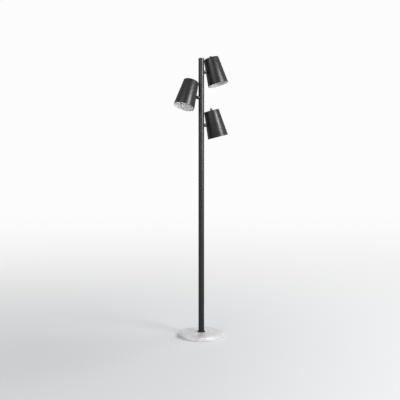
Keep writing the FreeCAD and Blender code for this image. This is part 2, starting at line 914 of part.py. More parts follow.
def build_ball_stem(arm):
    """A hollow ball and stem in one: the flange bears on the shade and the end is threaded."""
    label = f"{arm}_ball_stem"
    flange_face = stem_length - s.slide_gap
    flange_back = flange_face - s.stem_flange_thickness
    tip = stem_length + s.shade_sheet + s.stem_thread
    ball_flat = leg(s.ball_radius, s.stem_bore + s.edge_break)
    finish(turned(label, [
        (s.stem_bore, -ball_flat),
        (s.stem_bore + s.edge_break, -ball_flat),
        (s.stem_radius, leg(s.ball_radius, s.stem_radius), s.ball_radius, 1),
        (s.stem_radius, flange_back),
        (stem_flange_radius, flange_back),
        (stem_flange_radius, flange_face),
        (s.stem_radius, flange_face),
        (s.stem_radius, tip),
        (s.stem_bore, tip),
    ], stem_frame(arm)), label)


# ---- shade and what hangs in it -----------------------------------------------------------------

def shade_radius_at(drop):
    """The shade's outer radius a given way below its top."""
    return s.shade_top_radius + shade_slope * drop


def build_shade(arm, frame):
    """A cone of sheet, closed at the top, with a folded hem at the mouth."""
    label = f"{arm}_shade"
    sheet_gap = s.shade_sheet
    edge = s.shade_edge_round
    mouth = s.shade_mouth_radius
    body = turned(label, [
        (s.bushing_radius + s.slide_gap, 0),
        (s.shade_top_radius - edge, 0),
        (shade_radius_at(edge), -edge, edge * EDGE_ARC, -1),
        (mouth, -s.shade_length),
        (mouth - 2 * sheet_gap, -s.shade_length),
        (shade_radius_at(s.shade_length - s.shade_hem) - 2 * sheet_gap,
         s.shade_hem - s.shade_length),
        (shade_radius_at(s.shade_length - s.shade_hem) - sheet_gap,
         s.shade_hem - s.shade_length),
        (shade_radius_at(edge) - sheet_gap, -edge),
        (s.shade_top_radius - edge, -sheet_gap, edge * EDGE_ARC - sheet_gap, 1),
        (s.bushing_radius + s.slide_gap, -sheet_gap),
    ], frame)
    hole = circle_outline(body, 0, -stem_drop, s.stem_radius + s.hole_gap, "YZ_Plane")
    pocket(body, hole, s.shade_mouth_radius)
    finish(body, label)


def build_socket_bracket(arm, frame):
    """A strip bent into a hoop: the switch's bushing clamps its top and it carries the holder."""
    label = f"{arm}_socket_bracket"
    half = s.bracket_span / 2
    strip = s.bracket_strip
    body = new_body(label, frame)
    hoop = outline(body, box_corners(-half, bracket_foot, half, bracket_top), "YZ_Plane")
    pad(body, hoop, s.bracket_width, both_ways=True)
    window = outline(body, box_corners(strip - half, bracket_foot + strip,
                                       half - strip, bracket_top - strip), "YZ_Plane")
    pocket(body, window, s.bracket_width * 2, both_ways=True)
    bushing_hole = circle_outline(body, 0, 0, s.bushing_radius + s.slide_gap, lift=bracket_top)
    pocket(body, bushing_hole, strip)
    finish(body, label)


def build_switch_body(arm, frame):
    """A rotary switch in a round case, with a threaded bushing up through the shade."""
    label = f"{arm}_switch_body"
    shaft_hole = s.shaft_radius + s.slide_gap
    finish(turned(label, [
        (0, switch_foot),
        (s.switch_radius, switch_foot),
        (s.switch_radius, switch_top),
        (s.bushing_radius, switch_top),
        (s.bushing_radius, s.bushing_height),
        (shaft_hole, s.bushing_height),
        (shaft_hole, switch_top - s.shaft_seat - s.seat_gap),
        (0, switch_top - s.shaft_seat - s.seat_gap),
    ], frame), label)


def build_switch_knob(arm, frame):
    """A fluted knob pressed on a plain shaft."""
    knob_foot = s.bushing_height + s.knob_gap
    knob_top = knob_foot + s.knob_height
    shaft_top = knob_top - s.shaft_cover
    knob = turned(f"{arm}_knob", [
        (0, knob_foot),
        (s.knob_radius - s.knob_foot_chamfer, knob_foot),
        (s.knob_radius, knob_foot + s.knob_foot_chamfer),
        (s.knob_radius - s.knob_draft, knob_top - s.knob_top_round),
        (s.knob_radius - s.knob_draft - s.knob_top_round, knob_top, s.knob_top_round, 1),
        (0, knob_top),
    ], frame)
    bore = circle_outline(knob, 0, 0, s.shaft_radius + s.slide_gap, lift=shaft_top + s.slide_gap)
    pocket(knob, bore, s.knob_height)
    flute = circle_outline(knob, s.knob_radius + s.knob_flute_offset, 0,
                           s.knob_flute + s.knob_flute_offset, lift=knob_top)
    cut = pocket(knob, flute, s.knob_height - s.knob_flute_stop)
    polar_copies(knob, cut, FLUTES)
    shaft_foot = switch_top - s.shaft_seat
    shaft = cylinder(f"{arm}_shaft", s.shaft_radius, shaft_top - shaft_foot,
                     frame * lifted(shaft_foot))
    group(f"{arm}_switch_knob", [knob, shaft])


def build_lampholder(arm, frame):
    """A moulded cup with a stepped top, hung from the bracket."""
    label = f"{arm}_lampholder"
    bore = s.holder_radius - s.holder_wall
    shoulder = bracket_foot - s.holder_shoulder
    finish(turned(label, [
        (0, bracket_foot),
        (s.holder_top_radius, bracket_foot),
        (s.holder_top_radius, shoulder),
        (s.holder_radius, shoulder - s.holder_step),
        (s.holder_radius, holder_foot),
        (bore, holder_foot),
        (bore, shell_top + s.seat_gap),
        (0, shell_top + s.seat_gap),
    ], frame), label)


def build_screw_shell(arm, frame):
    """The threaded shell of the holder, and the round contact above it."""
    inner = s.shell_radius - s.shell_sheet
    shell_foot = shell_top - s.shell_length
    lip = s.holder_radius - s.holder_wall - s.seat_gap
    shell = turned(f"{arm}_shell", [
        (inner, shell_foot),
        (s.shell_radius, shell_foot),
        (s.shell_radius, shell_top - s.shell_sheet),
        (lip, shell_top - s.shell_sheet),
        (lip, shell_top),
        (inner, shell_top),
    ], frame)
    contact = cylinder(f"{arm}_contact", s.shell_contact_radius, s.shell_contact_thickness,
                       frame * lifted(shell_top - s.shell_contact_thickness))
    group(f"{arm}_screw_shell", [shell, contact])


def build_bulb(arm, frame):
    """A round bulb: a sheet cap with a raised end contact, and a hollow glass envelope."""
    cap_top = bulb_cap_foot + s.bulb_cap_length
    sheet = s.bulb_cap_sheet
    cone_foot = cap_top - s.bulb_cap_cone
    contact = s.bulb_contact_radius
    contact_foot = cap_top - s.bulb_contact_height
    contact_foot_radius = contact + s.bulb_contact_height
    finish(turned(f"{arm}_bulb_cap", [
        (s.bulb_cap_radius - sheet, bulb_cap_foot),
        (s.bulb_cap_radius, bulb_cap_foot),
        (s.bulb_cap_radius, cone_foot),
        (contact_foot_radius, contact_foot),
        (contact, cap_top),
        (0, cap_top),
        (0, contact_foot - sheet),
        (contact_foot_radius - sheet / 2, contact_foot - sheet),
        (s.bulb_cap_radius - sheet, cone_foot - sheet / 2),
    ], frame), f"{arm}_bulb_cap")
    shoulder_sine = math.sin(BULB_SHOULDER)
    shoulder_cosine = math.cos(BULB_SHOULDER)
    inner = s.bulb_radius - s.bulb_wall
    neck_inner = s.bulb_neck_radius - s.bulb_wall
    neck_run = (s.bulb_radius * shoulder_cosine - s.bulb_neck_radius) * (
        shoulder_cosine / shoulder_sine)
    neck_foot = bulb_centre + s.bulb_radius * shoulder_sine + neck_run
    neck_top = bulb_cap_foot + s.bulb_neck_seat
    finish(turned(f"{arm}_bulb_glass", [
        (neck_inner, neck_top),
        (neck_inner, neck_foot),
        (inner * shoulder_cosine, bulb_centre + inner * shoulder_sine),
        (0, bulb_centre - inner, inner, -1),
        (0, bulb_centre - s.bulb_radius),
        (s.bulb_radius * shoulder_cosine, bulb_centre + s.bulb_radius * shoulder_sine,
         s.bulb_radius, 1),
        (s.bulb_neck_radius, neck_foot),
        (s.bulb_neck_radius, neck_top),
    ], frame), f"{arm}_bulb_glass")


def build_head_fasteners(arm, frame):
    """The nut under the knob, the washer and nut on the stem, and the holder's two screws."""
    inner_wall = stem_wall_radius - s.shade_sheet
    washer_outer = stem_flange_radius
    sag = inner_wall - leg(inner_wall, washer_outer)
    washer_face = stem_length + s.shade_sheet + sag + s.slide_gap
    stem = stem_frame(arm)
    pieces = [
        hex_piece(f"{arm}_bushing_nut", s.bushing_nut_flats, s.bushing_nut_height, frame,
                  s.bushing_radius + s.slide_gap),
        washer(f"{arm}_stem_washer", washer_outer, s.stem_radius + s.slide_gap,
               s.stem_washer_thickness, stem * lifted(washer_face)),
        hex_piece(f"{arm}_stem_nut", s.nut_flats, s.nut_height,
                  stem * lifted(washer_face + s.stem_washer_thickness),
                  s.stem_radius + s.slide_gap),
    ]
    for side in (-1, 1):
        place = frame * lifted(bracket_foot + s.bracket_strip, 0, side * s.holder_screw_place)
        pieces.append(cylinder(f"{arm}_holder_screw_{side + 1}", s.holder_screw_radius,
                               s.holder_screw_height, place))
    group(f"{arm}_head_fasteners", pieces)


def build_head_lead(arm, frame):
    """The lead from the ball's bore up to the switch, and two links down to the holder."""
    lean = math.radians(flare)
    wall = -stem_wall_radius.number
    slope = math.tan(lean)
    drop = -stem_drop.number

    def on_stem(along):
        """A point this far past the shade's wall on the stem's axis."""
        return (wall + along * math.cos(lean), 0, drop - along * math.sin(lean))

    run_x = -31.0
    level = (switch_top - s.switch_height / 2).number
    route = [
        on_stem(-(stem_length + s.ball_radius).number + 1.4),
        (run_x, 0, drop - (run_x - wall) * slope),
        (run_x, 0, level),
        (-(s.switch_radius + s.seat_gap).number, 0, level),
    ]
    long_lead = lead(f"{arm}_lead", route, s.lead_radius, frame)
    links = [
        cylinder(f"{arm}_link_{side + 1}", s.link_radius,
                 switch_foot - bracket_foot - 2 * s.seat_gap,
                 frame * lifted(bracket_foot + s.seat_gap, side * s.link_place, 0))
        for side in (-1, 1)
    ]
    group(f"{arm}_head_lead", [long_lead, *links])


def build_arm(arm):
    fixed = out_along_x(arm_frame(getattr(s, f"{arm}_arm_height"), ARMS[arm]))
    build_saddle(arm, fixed)
    build_nipple(arm, fixed)
    build_swivel_cup(arm, swivel_frame(arm))
    build_swivel_cap(arm, swivel_frame(arm))
    build_ball_stem(arm)
    frame = shade_frame(arm)
    for build in (build_shade, build_socket_bracket, build_switch_body, build_switch_knob,
                  build_lampholder, build_screw_shell, build_bulb, build_head_fasteners,
                  build_head_lead):
        build(arm, frame)


# ---- check and write ----------------------------------------------------------------------------

def check_document():
    doc.recompute()
    for thing in doc.Objects:
        bad = {"Invalid", "Error"} & set(thing.State)
        if bad:
            raise RuntimeError(f"{thing.Label}: {sorted(bad)}")
    for node in nodes:
        if node.Shape.isNull() or not node.Shape.isValid() or not node.Shape.Solids:
            raise RuntimeError(f"{node.Label}: its shape is not a valid solid")


def write_parts():
    os.makedirs("parts", exist_ok=True)
    for node in nodes:
        node.Shape.exportStep(f"parts/{node.Label}.step")
    print(len(nodes), "sub-parts written")


def main():
    build_marble_base()
    build_floor_pad()
    build_base_plate()
    build_centre_bolt()
    build_cord_gland()
    build_foot_collar()
    build_pole()
    build_pole_inserts()
    build_pole_cap()
    build_terminal_block()
    build_stand_leads()
    build_nipple_nuts()
    for arm in ARMS:
        build_arm(arm)
    check_document()
    write_parts()


main()
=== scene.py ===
"""Tree floor lamp: materials, detailed pieces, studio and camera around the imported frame."""
import json
import math

import bmesh
import bpy
from mathutils import Matrix, Vector


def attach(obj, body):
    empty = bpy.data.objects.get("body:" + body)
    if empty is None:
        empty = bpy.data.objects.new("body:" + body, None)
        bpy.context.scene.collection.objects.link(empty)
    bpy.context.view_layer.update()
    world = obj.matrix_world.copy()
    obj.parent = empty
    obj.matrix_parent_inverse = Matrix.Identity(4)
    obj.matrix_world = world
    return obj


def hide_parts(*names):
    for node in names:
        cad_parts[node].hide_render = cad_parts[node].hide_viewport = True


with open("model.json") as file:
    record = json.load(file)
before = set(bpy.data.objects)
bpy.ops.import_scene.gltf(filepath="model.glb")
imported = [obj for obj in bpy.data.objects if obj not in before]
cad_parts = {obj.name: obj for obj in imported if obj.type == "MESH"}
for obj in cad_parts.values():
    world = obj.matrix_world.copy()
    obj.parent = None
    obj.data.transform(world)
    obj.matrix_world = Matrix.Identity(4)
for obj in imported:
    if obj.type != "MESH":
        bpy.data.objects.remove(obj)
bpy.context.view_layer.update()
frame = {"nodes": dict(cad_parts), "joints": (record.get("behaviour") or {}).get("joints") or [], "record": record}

scene = bpy.context.scene
nodes = frame["nodes"]
MM = 0.001
ARMS = ("top", "middle", "lower")


# ---- materials --------------------------------------------------------------------------------

def grey(value):
    return (value, value, value, 1.0)


class Nodes:
    """A node tree under construction."""

    def __init__(self, tree):
        self.tree = tree
        tree.nodes.clear()

    def add(self, kind, inputs=None, **settings):
        node = self.tree.nodes.new(kind)
        for name, value in settings.items():
            setattr(node, name, value)
        for name, value in (inputs or {}).items():
            self.feed(node.inputs[name], value)
        return node

    def feed(self, socket, value):
        if isinstance(value, bpy.types.NodeSocket):
            self.tree.links.new(value, socket)
        else:
            socket.default_value = value


def new_material(name):
    material = bpy.data.materials.new(name)
    material.use_nodes = True
    return material, Nodes(material.node_tree)


def noise(n, where, scale, detail=3.0, roughness=0.5, distortion=0.0):
    return n.add("ShaderNodeTexNoise", {"Vector": where, "Scale": scale, "Detail": detail,
                                        "Roughness": roughness, "Distortion": distortion})


def ramp(n, factor, stops):
    """Colours or greys by position along 0 to 1."""
    node = n.add("ShaderNodeValToRGB", {"Fac": factor})
    elements = node.color_ramp.elements
    while len(elements) < len(stops):
        elements.new(0.5)
    for element, (position, colour) in zip(elements, stops):
        element.position = position
        element.color = colour if isinstance(colour, tuple) else grey(colour)
    return node.outputs["Color"]


def between(n, factor, low, high):
    """A number that goes from low to high with the factor."""
    node = n.add("ShaderNodeMapRange", {"Value": factor, "To Min": low, "To Max": high})
    return node.outputs["Result"]


def finish(n, colour, roughness, bump, depth, strength, **constants):
    """The surface itself, with a fine bump and its constant values."""
    shader = n.add("ShaderNodeBsdfPrincipled", {"Base Color": colour, "Roughness": roughness})
    for name, value in constants.items():
        shader.inputs[name.replace("_", " ")].default_value = value
    height = n.add("ShaderNodeBump", {"Height": bump, "Distance": depth, "Strength": strength})
    n.feed(shader.inputs["Normal"], height.outputs["Normal"])
    output = n.add("ShaderNodeOutputMaterial")
    n.feed(output.inputs["Surface"], shader.outputs["BSDF"])


def painted(name, low, high, roughness, peel=0.12, specular=0.22, tint=1.0, edge=0.85):
    """Sprayed paint: faint mottling, an orange-peel bump, and a gloss that dulls edge-on."""
    material, n = new_material(name)
    where = n.add("ShaderNodeTexCoord").outputs["Object"]
    broad = noise(n, where, 14.0, 4.0).outputs["Fac"]
    fine = noise(n, where, 900.0, 2.0).outputs["Fac"]
    colour = ramp(n, broad, [(0.3, (low, low, low * tint, 1.0)),
                             (0.7, (high, high, high * tint, 1.0))])
    patchy = between(n, broad, roughness - 0.04, roughness + 0.05)
    facing = n.add("ShaderNodeLayerWeight", {"Blend": 0.5}).outputs["Facing"]
    slant = n.add("ShaderNodeMapRange", {"Value": facing, "From Min": 0.35, "From Max": 0.80},
                  interpolation_type="SMOOTHSTEP").outputs["Result"]
    gloss = n.add("ShaderNodeMix", {0: slant, 2: patchy, 3: edge}, data_type="FLOAT").outputs[0]
    finish(n, colour, gloss, fine, 0.00002, peel, Specular_IOR_Level=specular)
    return material


def marble(name):
    """White stone with soft grey clouds and a few thin darker veins."""
    material, n = new_material(name)
    where = n.add("ShaderNodeTexCoord").outputs["Object"]
    stretch = n.add("ShaderNodeMapping", {"Vector": where, "Rotation": (0.3, 0.5, 0.6),
                                          "Scale": (1.0, 0.55, 1.0)}).outputs["Vector"]
    warp = noise(n, stretch, 7.0, 5.0, 0.6).outputs["Color"]
    bent = n.add("ShaderNodeMix", {"Factor": 0.16, "A": stretch, "B": warp},
                 data_type="VECTOR").outputs[1]
    clouds = noise(n, bent, 11.0, 7.0, 0.62, 0.6).outputs["Fac"]
    veins = n.add("ShaderNodeTexVoronoi", {"Vector": bent, "Scale": 10.0},
                  feature="DISTANCE_TO_EDGE").outputs["Distance"]
    line = ramp(n, veins, [(0.0, 1.0), (0.03, 0.45), (0.11, 0.0)])
    patch = ramp(n, noise(n, stretch, 5.0, 2.0).outputs["Fac"], [(0.45, 0.0), (0.62, 1.0)])
    grain = noise(n, where, 1400.0, 2.0).outputs["Fac"]
    body = ramp(n, clouds, [(0.30, (0.60, 0.605, 0.615, 1.0)), (0.46, (0.695, 0.695, 0.70, 1.0)),
                            (0.62, (0.76, 0.757, 0.755, 1.0))])
    mask = n.add("ShaderNodeMath", {0: line, 1: patch}, operation="MULTIPLY").outputs[0]
    weak = n.add("ShaderNodeMath", {0: mask, 1: 0.4}, operation="MULTIPLY").outputs[0]
    veined = n.add("ShaderNodeMix", {"Factor": weak, 6: body, 7: (0.33, 0.335, 0.35, 1.0)},
                   data_type="RGBA").outputs[2]
    speck = between(n, grain, 0.97, 1.03)
    colour = n.add("ShaderNodeMix", {"Factor": 1.0, 6: veined, 7: speck}, data_type="RGBA",
                   blend_type="MULTIPLY").outputs[2]
    finish(n, colour, between(n, clouds, 0.34, 0.22), grain, 0.00004, 0.15,
           Specular_IOR_Level=0.45, Subsurface_Weight=0.06)
    return material


def metal(name, colour, roughness, grain=420.0, variation=0.12):
    """Plated or drawn metal with soft stains and a fine scratch grain."""
    material, n = new_material(name)
    where = n.add("ShaderNodeTexCoord").outputs["Object"]
    broad = noise(n, where, 60.0, 4.0).outputs["Fac"]
    fine = noise(n, where, grain, 3.0).outputs["Fac"]
    dull = tuple(c * (1.0 - variation) for c in colour) + (1.0,)
    shade = ramp(n, broad, [(0.35, dull), (0.65, tuple(colour) + (1.0,))])
    finish(n, shade, between(n, fine, roughness - 0.06, roughness + 0.08), fine, 0.00003, 0.2,
           Metallic=1.0)
    return material


def moulded(name, low, high, roughness, tint=(1.0, 1.0, 1.0), texture=1600.0, **constants):
    """Moulded plastic or rubber with a fine texture."""
    material, n = new_material(name)
    where = n.add("ShaderNodeTexCoord").outputs["Object"]
    broad = noise(n, where, 45.0, 3.0).outputs["Fac"]
    fine = noise(n, where, texture, 2.0).outputs["Fac"]
    colours = [tuple(value * t for t in tint) + (1.0,) for value in (low, high)]
    finish(n, ramp(n, broad, [(0.35, colours[0]), (0.65, colours[1])]),
           between(n, fine, roughness - 0.05, roughness + 0.06), fine, 0.00005, 0.25, **constants)
    return material


def foam(name):
    """Black closed-cell foam."""
    material, n = new_material(name)
    where = n.add("ShaderNodeTexCoord").outputs["Object"]
    cells = n.add("ShaderNodeTexVoronoi", {"Vector": where, "Scale": 900.0}).outputs["Distance"]
    finish(n, ramp(n, cells, [(0.1, 0.012), (0.6, 0.035)]), between(n, cells, 0.85, 0.95), cells,
           0.0004, 0.6)
    return material


MATERIALS = {
    "black_metal": painted("black_metal", 0.014, 0.018, 0.36, tint=1.06, edge=0.9),
    "shade_paint": painted("shade_paint", 0.0095, 0.0125, 0.35, tint=1.06),
    "white_marble": marble("white_marble"),
    "floor_pad_foam": foam("floor_pad_foam"),
    "zinc_steel": metal("zinc_steel", (0.56, 0.57, 0.58), 0.34),
    "black_rubber": moulded("black_rubber", 0.014, 0.022, 0.62),
    "black_plastic": moulded("black_plastic", 0.006, 0.009, 0.60, Specular_IOR_Level=0.12),
    "white_plastic": moulded("white_plastic", 0.70, 0.75, 0.38, (1.0, 0.99, 0.96)),
    "lead_jacket": moulded("lead_jacket", 0.016, 0.024, 0.50),
    "shell_brass": metal("shell_brass", (0.78, 0.56, 0.27), 0.30),
    "bulb_cap_metal": metal("bulb_cap_metal", (0.74, 0.75, 0.76), 0.28),
    "frosted_glass": moulded("frosted_glass", 0.78, 0.82, 0.42, (1.0, 0.99, 0.97)),
}
shade_white = painted("shade_white", 0.61, 0.65, 0.60, 0.1, 0.2, 1.0)

for entry in frame["record"]["subparts"]:
    for slot in nodes[entry["node"]].material_slots:
        slot.material = MATERIALS[entry["material_slot"]]


# ---- detailed pieces ----------------------------------------------------------------------------

def shade_place(arm):
    """The place and axes of a shade: origin at the centre of its top, X away from the pole."""
    joints = {joint["name"]: joint for joint in frame["joints"]}
    turn = joints[f"{arm}_switch_turn"]
    up = Vector(turn["axis"]).normalized()
    across = -Vector(joints[f"{arm}_tilt"]["axis"]).normalized()
    out = across.cross(up).normalized()
    place = Matrix((out, up.cross(out), up)).transposed().to_4x4()
    place.translation = Vector(turn["pos_m"])
    return place


def rounded(corner, before, after, radius, steps=5):
    """Points of a small arc that eases a corner of a profile."""
    corner, before, after = (Vector(p[:2]) for p in (corner, before, after))
    into, out = (before - corner).normalized(), (after - corner).normalized()
    angle = into.angle(out)
    reach = min(radius / math.tan(angle / 2), 0.45 * (before - corner).length,
                0.45 * (after - corner).length)
    radius = reach * math.tan(angle / 2)
    centre = corner + (into + out).normalized() * (radius / math.sin(angle / 2))
    start, end = corner + into * reach - centre, corner + out * reach - centre
    return [centre + start.slerp(end, i / steps).normalized() * radius for i in range(steps + 1)]


def eased(corners):
    """A profile of (radius, height[, ease[, material]]) corners with its eased points.

    The material of a corner is that of the run that leads away from it.
    """
    points = []
    for index, corner in enumerate(corners):
        ease = corner[2] if len(corner) > 2 else 0.0
        paint = corner[3] if len(corner) > 3 else 0
        inside = 0 < index < len(corners) - 1
        if ease and inside:
            arc = rounded(corner, corners[index - 1], corners[index + 1], ease)
            points += [(p.x, p.y, paint) for p in arc]
        else:
            points.append((corner[0], corner[1], paint))
    return points


def lathed(name, corners, place, materials, sides=128, closed=True, wave=None):
    """A turned piece, in millimetres about its own Z axis; wave changes a radius by the angle."""
    points = eased(list(corners) + ([corners[0]] if closed else []))
    mesh = bpy.data.meshes.new(name)
    work = bmesh.new()
    rings = []
    for radius, height, _ in points[:-1] if closed else points:
        if radius < 1e-6:
            rings.append([work.verts.new((0.0, 0.0, height * MM))])
            continue
        ring = []
        for side in range(sides):
            angle = 2 * math.pi * side / sides
            reach = radius if wave is None else wave(radius, height, angle)
            ring.append(work.verts.new((reach * MM * math.cos(angle), reach * MM * math.sin(angle),
                                        height * MM)))
        rings.append(ring)
    if closed:
        rings.append(rings[0])
    for (_, _, paint), lower, upper in zip(points, rings, rings[1:]):
        if len(lower) == 1 and len(upper) == 1:
            continue
        for side in range(sides):
            following = (side + 1) % sides
            if len(lower) == 1:
                corners_of_face = (lower[0], upper[following], upper[side])
            elif len(upper) == 1:
                corners_of_face = (lower[side], lower[following], upper[0])
            else:
                corners_of_face = (lower[side], lower[following], upper[following], upper[side])
            face = work.faces.new(corners_of_face)
            face.material_index = paint
    bmesh.ops.recalc_face_normals(work, faces=work.faces)
    work.to_mesh(mesh)
    work.free()
    mesh.transform(place)
    for material in materials:
        mesh.materials.append(material)
    piece = bpy.data.objects.new(name, mesh)
    scene.collection.objects.link(piece)
    return piece


def smooth(piece, angle):
    """Shade smooth, but for edges sharper than the angle in degrees."""
    piece.data.shade_smooth()
    piece.data.set_sharp_from_angle(angle=math.radians(angle))


def apply_modifiers(piece):
    """Make the piece's modifiers part of its mesh."""
    graph = bpy.context.evaluated_depsgraph_get()
    mesh = bpy.data.meshes.new_from_object(piece.evaluated_get(graph))
    piece.modifiers.clear()
    piece.data = mesh


def cut(piece, tool):
    """Cut the tool's shape out of the piece and drop the tool."""
    modifier = piece.modifiers.new("cut", "BOOLEAN")
    modifier.operation = "DIFFERENCE"
    modifier.solver = "EXACT"
    modifier.object = tool
    bpy.context.view_layer.update()
    apply_modifiers(piece)
    bpy.data.objects.remove(tool)


def stand_in(piece, body, node):
    """Let the piece ride on a body in place of a node's plain solid."""
    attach(piece, body)
    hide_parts(node)


def box_tool(low, high):
    """A box to cut with, from two corners in millimetres."""
    work = bmesh.new()
    bmesh.ops.create_cube(work, size=1.0)
    low, high = Vector(low) * MM, Vector(high) * MM
    for vert in work.verts:
        vert.co = Vector([low[i] + (high[i] - low[i]) * (vert.co[i] + 0.5) for i in range(3)])
    mesh = bpy.data.meshes.new("tool")
    work.to_mesh(mesh)
    work.free()
    tool = bpy.data.objects.new("tool", mesh)
    scene.collection.objects.link(tool)
    return tool


# Sizes in millimetres. Radii are about the piece's own axis, and heights run along it.
SHADE_TOP, SHADE_MOUTH, SHADE_LENGTH = 42.5, 58.3, 152.5
SHEET, HEM, EDGE = 0.9, 2.2, 2.5
FLARE = math.atan((SHADE_MOUTH - SHADE_TOP) / SHADE_LENGTH)
BUSHING_HOLE, STEM_HOLE, STEM_HOLE_REACH = 5.05, 4.25, 8.0
STEM_DROP = 0.474 * SHADE_LENGTH
KNOB_RADIUS, KNOB_FOOT, KNOB_TOP = 6.0, 3.0, 13.0
KNOB_DISH_RADIUS, KNOB_DISH_DEPTH = 3.6, 0.2
SHAFT_RADIUS, SHAFT_FOOT, SHAFT_TOP = 1.8, -6.1, 3.2
FLUTES, FLUTE_DEPTH, FLUTE_FADE = 12, 0.42, 0.8
FLUTE_FOOT, FLUTE_INNER = 4.2, 4.9
DISC_RADIUS, DISC_FOOT, DISC_TOP = 125.0, 1.5, 24.0
BEVEL_RADIUS, BEVEL_FOOT, FOOT_CHAMFER = 107.0, 18.7, 1.2
RECESS_RADIUS, RECESS_ROOF, BORE = 45.0, 15.5, 14.0
CHANNEL_HALF, CHANNEL_ROOF, CHANNEL_START, CHANNEL_END = 4.2, 9.9, 40.0, 130.0


def build_shade(arm, place):
    """Spun sheet: black outside, white inside, with a rounded top edge and a folded hem."""
    def wall(drop):
        return SHADE_TOP + (SHADE_MOUTH - SHADE_TOP) * drop / SHADE_LENGTH

    inner_corner = wall(SHEET) - SHEET
    fold = SHADE_LENGTH - HEM
    piece = lathed(f"{arm}_shade_shell", [
        (BUSHING_HOLE, 0.0, 0.0, 0),
        (wall(0.0), 0.0, EDGE, 0),
        (SHADE_MOUTH, -SHADE_LENGTH, 0.8, 0),
        (SHADE_MOUTH - SHEET, -SHADE_LENGTH, 0.0, 1),
        (SHADE_MOUTH - 2 * SHEET, -SHADE_LENGTH, 0.8, 1),
        (wall(fold) - 2 * SHEET, -fold, 0.35, 1),
        (wall(fold) - SHEET, -fold, 0.2, 1),
        (inner_corner, -SHEET, EDGE - SHEET, 1),
        (BUSHING_HOLE, -SHEET, 0.0, 0),
    ], place, [MATERIALS["shade_paint"], shade_white], sides=192)
    side = Matrix.Translation((-wall(STEM_DROP) * MM, 0.0, -STEM_DROP * MM)) @ Matrix.Rotation(
        -math.pi / 2 - FLARE, 4, "Y")
    tool = lathed("tool", [
        (0, -STEM_HOLE_REACH), (STEM_HOLE, -STEM_HOLE_REACH), (STEM_HOLE, STEM_HOLE_REACH),
        (0, STEM_HOLE_REACH),
    ], place @ side, [], sides=48, closed=False)
    cut(piece, tool)
    smooth(piece, 32.0)
    stand_in(piece, f"{arm}_head", f"{arm}_shade")


def build_knob(arm, place):
    """A knob with soft flutes round its side, on its plain shaft."""
    def flutes(radius, height, angle):
        depth = FLUTE_DEPTH * max(0.0, math.cos(FLUTES * angle)) ** 2
        rise = min(1.0, max(0.0, (height - FLUTE_FOOT) / FLUTE_FADE))
        spread = min(1.0, max(0.0, (radius - FLUTE_INNER) / FLUTE_FADE))
        return radius - depth * (rise * spread)

    piece = lathed(f"{arm}_knob_grip", [
        (SHAFT_RADIUS, KNOB_FOOT), (KNOB_RADIUS - 0.6, KNOB_FOOT, 0.3),
        (KNOB_RADIUS, KNOB_FOOT + 0.6, 0.3), (KNOB_RADIUS - 0.05, FLUTE_FOOT),
        (KNOB_RADIUS - 0.08, FLUTE_FOOT + FLUTE_FADE), (KNOB_RADIUS - 0.12, KNOB_FOOT + 5.0),
        (KNOB_RADIUS - 0.20, KNOB_TOP, 1.1),
        (KNOB_DISH_RADIUS + KNOB_DISH_DEPTH, KNOB_TOP, 0.3),
        (KNOB_DISH_RADIUS, KNOB_TOP - KNOB_DISH_DEPTH, 0.3), (0.0, KNOB_TOP - KNOB_DISH_DEPTH),
    ], place, [MATERIALS["black_plastic"]], sides=144, closed=False, wave=flutes)
    shaft = lathed("shaft", [
        (0.0, SHAFT_FOOT), (SHAFT_RADIUS, SHAFT_FOOT, 0.2), (SHAFT_RADIUS, SHAFT_TOP),
        (0.0, SHAFT_TOP),
    ], place, [MATERIALS["black_plastic"]], sides=32, closed=False)
    work = bmesh.new()
    work.from_mesh(piece.data)
    work.from_mesh(shaft.data)
    work.to_mesh(piece.data)
    work.free()
    bpy.data.objects.remove(shaft)
    smooth(piece, 40.0)
    stand_in(piece, f"{arm}_knob", f"{arm}_switch_knob")


def build_marble():
    """The disc with its polished edges eased, its recess and the channel to the back edge."""
    piece = lathed("marble_disc", [
        (BORE, RECESS_ROOF), (RECESS_RADIUS, RECESS_ROOF), (RECESS_RADIUS, DISC_FOOT),
        (DISC_RADIUS - FOOT_CHAMFER, DISC_FOOT, 0.5),
        (DISC_RADIUS, DISC_FOOT + FOOT_CHAMFER, 0.8), (DISC_RADIUS, BEVEL_FOOT, 2.0),
        (BEVEL_RADIUS, DISC_TOP, 3.5), (BORE, DISC_TOP),
    ], Matrix.Identity(4), [MATERIALS["white_marble"]], sides=256)
    cut(piece, box_tool((-CHANNEL_HALF, CHANNEL_START, DISC_FOOT - 1.0),
                        (CHANNEL_HALF, CHANNEL_END, CHANNEL_ROOF)))
    smooth(piece, 40.0)
    stand_in(piece, "stand", "marble_base")


build_marble()
for arm in ARMS:
    place = shade_place(arm)
    build_shade(arm, place)
    build_knob(arm, place)


# ---- studio -------------------------------------------------------------------------------------

# Places in metres. The focal length was fitted to the photograph, in its pixels.
HEADS, STAND_MIDDLE = (0.0, 0.0, 1.25), (0.0, 0.0, 0.6)
CAMERA_PLACE = (-0.00736, -2.810, 0.760)
FOCAL_PIXELS, PHOTO_PIXELS, SENSOR_WIDTH = 502.0, 400.0, 36.0
FLOOR_REACH, FLOOR_SIDES = 90.0, 96
PAPER_CENTRE, PAPER_REACH = (-0.4, -0.8, 0.0), 2.0
BACKGROUND = 0.975


def aim(thing, place, target):
    thing.location = place
    thing.rotation_euler = (Vector(target) - Vector(place)).to_track_quat("-Z", "Y").to_euler()


